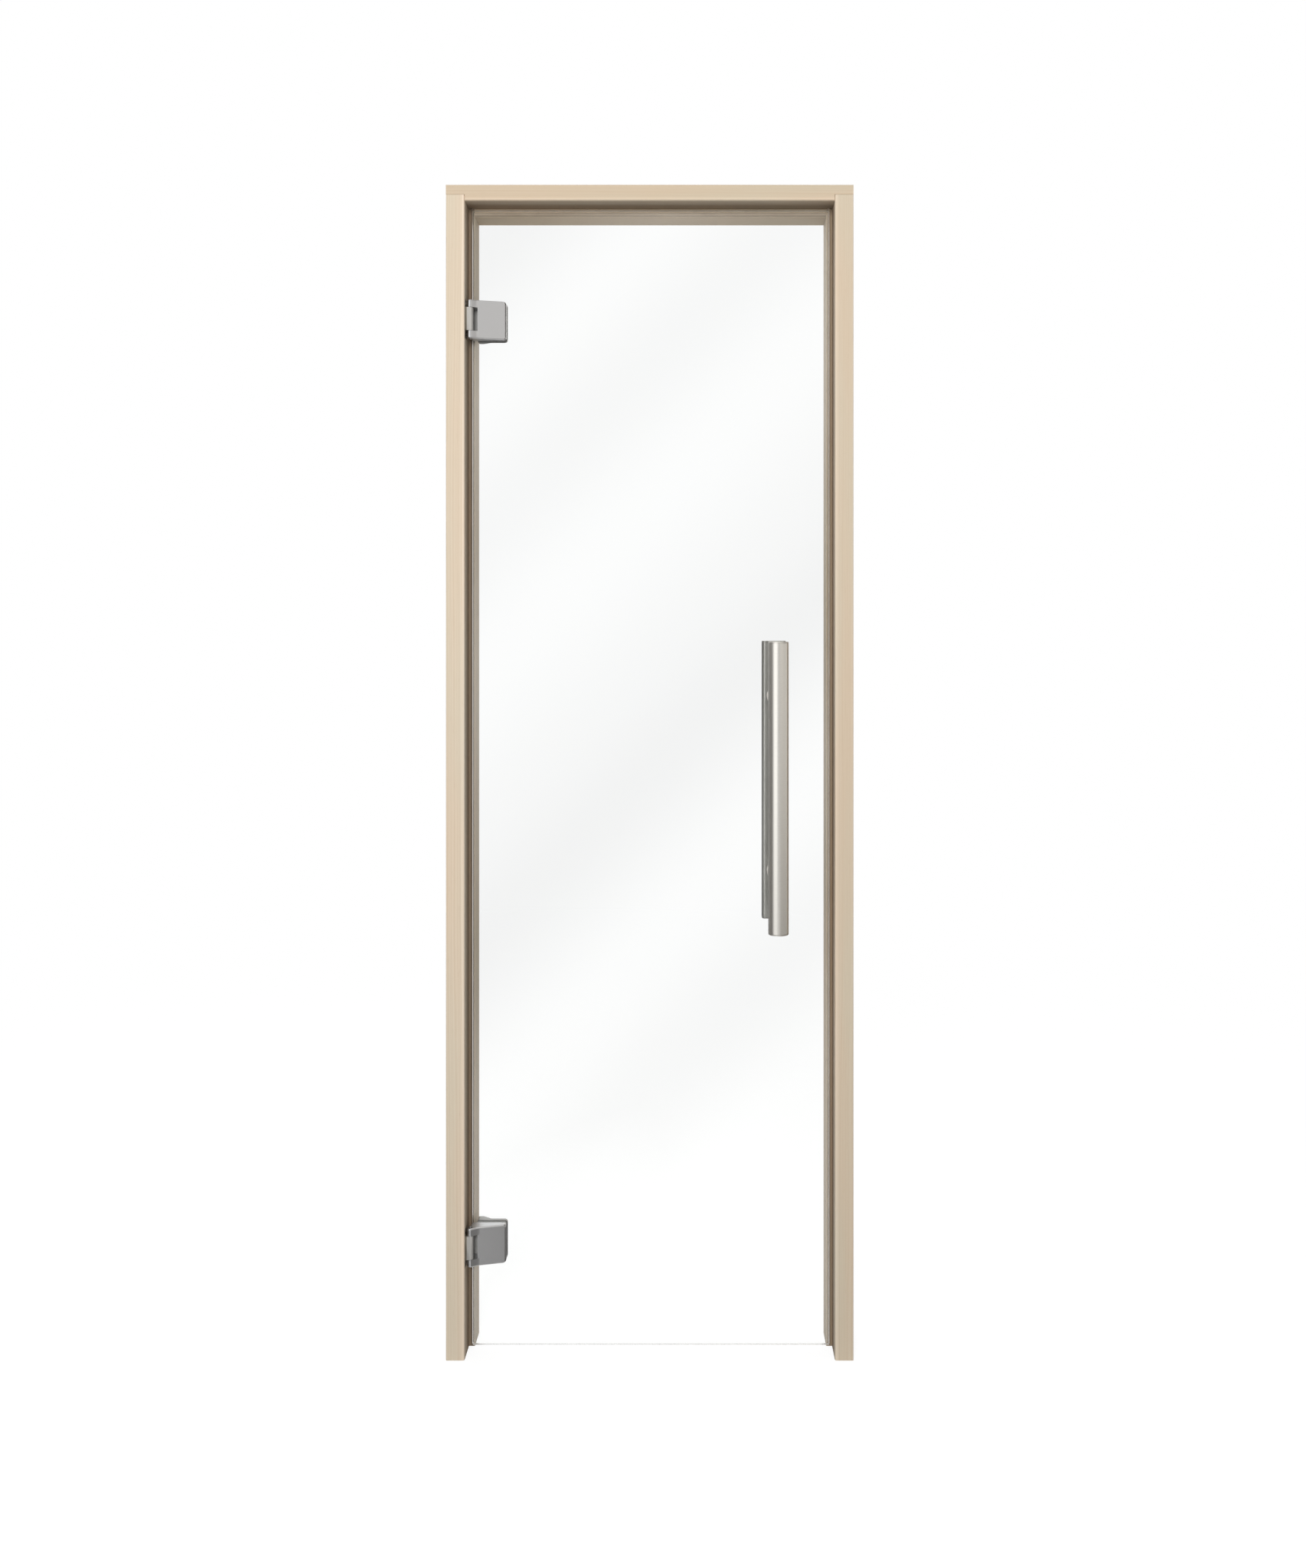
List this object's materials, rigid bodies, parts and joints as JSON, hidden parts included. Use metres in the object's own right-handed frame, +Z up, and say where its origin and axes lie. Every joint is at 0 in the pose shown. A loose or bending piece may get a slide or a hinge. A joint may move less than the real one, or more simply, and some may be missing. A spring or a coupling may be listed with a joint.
{
  "type": "sauna door",
  "caption": "Clear glass sauna door leaf on pivot clamp hinges in a rebated softwood frame, with a through-bolted pull handle.",
  "frame": {"origin": "middle of the hinge jamb's foot, at floor level", "axes": "+X across the door from the hinge side to the latch side, +Y into the sauna, +Z up; the leaf opens outwards, towards -Y"},
  "size_m": [0.69, 0.162, 1.99],
  "materials": {
    "pine": "planed and clear, satin, straight pale grain",
    "seal": "soft matt silicone, beige",
    "hinge_steel": "satin",
    "handle_steel": "polished along the tube",
    "brushed_steel": "brushed, darker",
    "fixings": "bright",
    "gasket": "matt grey sheet",
    "glass": "clear toughened glass with ground edges"
  },
  "bodies": {
    "frame": {"hinge_jamb": "pine", "latch_jamb": "pine", "head": "pine", "hinge_side_seal": "seal", "latch_side_seal": "seal", "head_seal": "seal", "upper_hinge_bracket": "hinge_steel", "lower_hinge_bracket": "hinge_steel", "upper_hinge_pin": "fixings", "lower_hinge_pin": "fixings", "upper_wood_screw_top": "fixings", "upper_wood_screw_bottom": "fixings", "lower_wood_screw_top": "fixings", "lower_wood_screw_bottom": "fixings"},
    "leaf": {"glass_pane": "glass", "upper_outer_clamp": "hinge_steel", "upper_inner_clamp": "hinge_steel", "upper_outer_gasket": "gasket", "upper_inner_gasket": "gasket", "upper_clamp_screw_top": "fixings", "upper_clamp_screw_bottom": "fixings", "lower_outer_clamp": "hinge_steel", "lower_inner_clamp": "hinge_steel", "lower_outer_gasket": "gasket", "lower_inner_gasket": "gasket", "lower_clamp_screw_top": "fixings", "lower_clamp_screw_bottom": "fixings", "outer_tube": "handle_steel", "outer_tube_top_cap": "handle_steel", "outer_tube_bottom_cap": "handle_steel", "inner_bar": "brushed_steel", "inner_bar_top_cap": "brushed_steel", "inner_bar_bottom_cap": "brushed_steel", "upper_outer_post": "handle_steel", "lower_outer_post": "handle_steel", "upper_inner_post": "handle_steel", "lower_inner_post": "handle_steel", "upper_outer_washer": "handle_steel", "lower_outer_washer": "handle_steel", "upper_inner_washer": "handle_steel", "lower_inner_washer": "handle_steel", "upper_handle_stud": "fixings", "lower_handle_stud": "fixings"}
  },
  "joints": [
    {"name": "leaf_hinge", "type": "hinge", "parent": "frame", "child": "leaf", "pos_m": [0.0185, -0.034, 0.97575], "axis": [0, 0, -1], "range_deg": [0, 105]}
  ]
}
